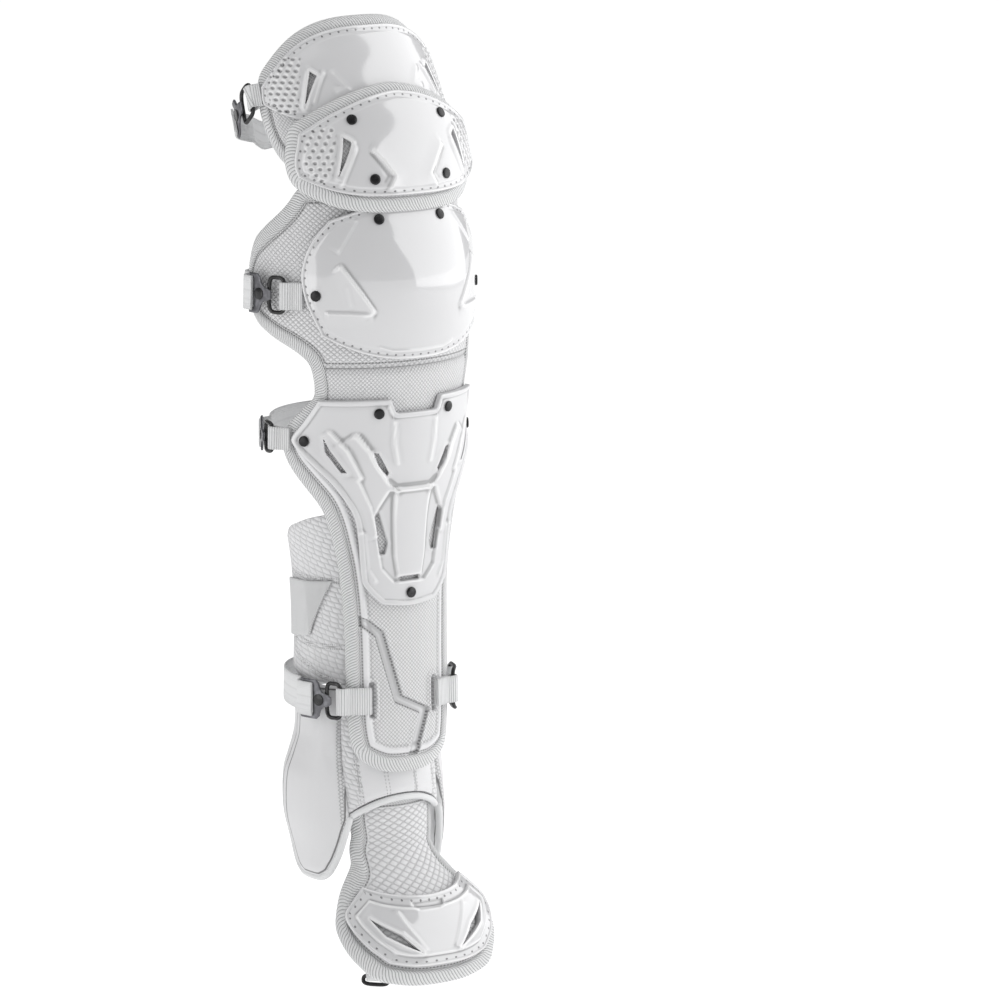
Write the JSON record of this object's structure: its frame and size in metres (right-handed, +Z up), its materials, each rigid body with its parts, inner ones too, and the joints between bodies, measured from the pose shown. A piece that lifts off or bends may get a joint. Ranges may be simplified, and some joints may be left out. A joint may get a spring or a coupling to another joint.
{
  "type": "catcher leg guard",
  "caption": "White catcher's leg guard for a right leg: padded thigh, knee and shin, glossy moulded plates, a toe cap, ankle flaps and hooked elastic straps.",
  "frame": {"origin": "inside the knee, on the axis of the leg that wears the guard", "axes": "+Z up the leg towards the thigh, -Y out of the front of the guard, +X towards the inner side of the leg"},
  "size_m": [0.1755, 0.1788, 0.6758],
  "materials": {
    "plate_gloss": "glossy moulded plastic with a raised lip, dimples and a stitched rim",
    "plate_satin": "satin moulded plastic",
    "mesh_white": "padded mesh with a diamond weave",
    "binding_white": "ribbed edge binding, sewn with a dark seam line",
    "webbing_white": "ribbed woven webbing",
    "elastic_white": "smooth knitted elastic",
    "flap_smooth": "smooth coated fabric over padding",
    "ring_black": "black glossy coating",
    "hook_gunmetal": "dark gunmetal plating",
    "rivet_black": "black, slightly domed"
  },
  "bodies": {
    "root": {"thigh_pad": "mesh_white", "thigh_binding": "binding_white", "thigh_plate": "plate_gloss", "knee_cap_upper_pad": "mesh_white", "knee_cap_upper_binding": "binding_white", "knee_cap_upper": "plate_gloss", "shin_pad": "mesh_white", "knee_pad": "mesh_white", "leg_binding": "binding_white", "knee_cap_main": "plate_gloss", "shin_plate": "plate_satin", "calf_wrap": "mesh_white", "ankle_sleeve": "mesh_white", "ankle_piping": "binding_white", "calf_tab": "webbing_white", "ankle_flap_outer": "flap_smooth", "ankle_flap_inner": "flap_smooth", "instep_pad": "mesh_white", "instep_binding": "binding_white", "toe_cap": "plate_gloss", "thigh_tab": "webbing_white", "thigh_ring": "ring_black", "thigh_hook": "hook_gunmetal", "thigh_strap": "elastic_white", "knee_tab": "webbing_white", "knee_ring": "ring_black", "knee_hook": "hook_gunmetal", "knee_strap": "elastic_white", "calf_upper_tab": "webbing_white", "calf_upper_ring": "ring_black", "calf_upper_hook": "hook_gunmetal", "calf_upper_strap": "elastic_white", "calf_lower_tab": "webbing_white", "calf_lower_ring": "ring_black", "calf_lower_hook": "hook_gunmetal", "calf_lower_strap": "elastic_white", "calf_lower_end_tab": "webbing_white", "calf_lower_end_ring": "ring_black", "toe_clip_left": "ring_black", "toe_clip_right": "ring_black", "toe_strap": "elastic_white", "upper_cap_rivet_top_left": "rivet_black", "upper_cap_rivet_top_right": "rivet_black", "upper_cap_rivet_low_left": "rivet_black", "upper_cap_rivet_low_right": "rivet_black", "main_cap_rivet_top_left": "rivet_black", "main_cap_rivet_top_right": "rivet_black", "main_cap_rivet_side_left": "rivet_black", "main_cap_rivet_side_right": "rivet_black", "shin_plate_rivet_top_left": "rivet_black", "shin_plate_rivet_top_right": "rivet_black", "shin_plate_rivet_side_left": "rivet_black", "shin_plate_rivet_side_right": "rivet_black", "shin_plate_rivet_foot": "rivet_black"}
  },
  "joints": []
}
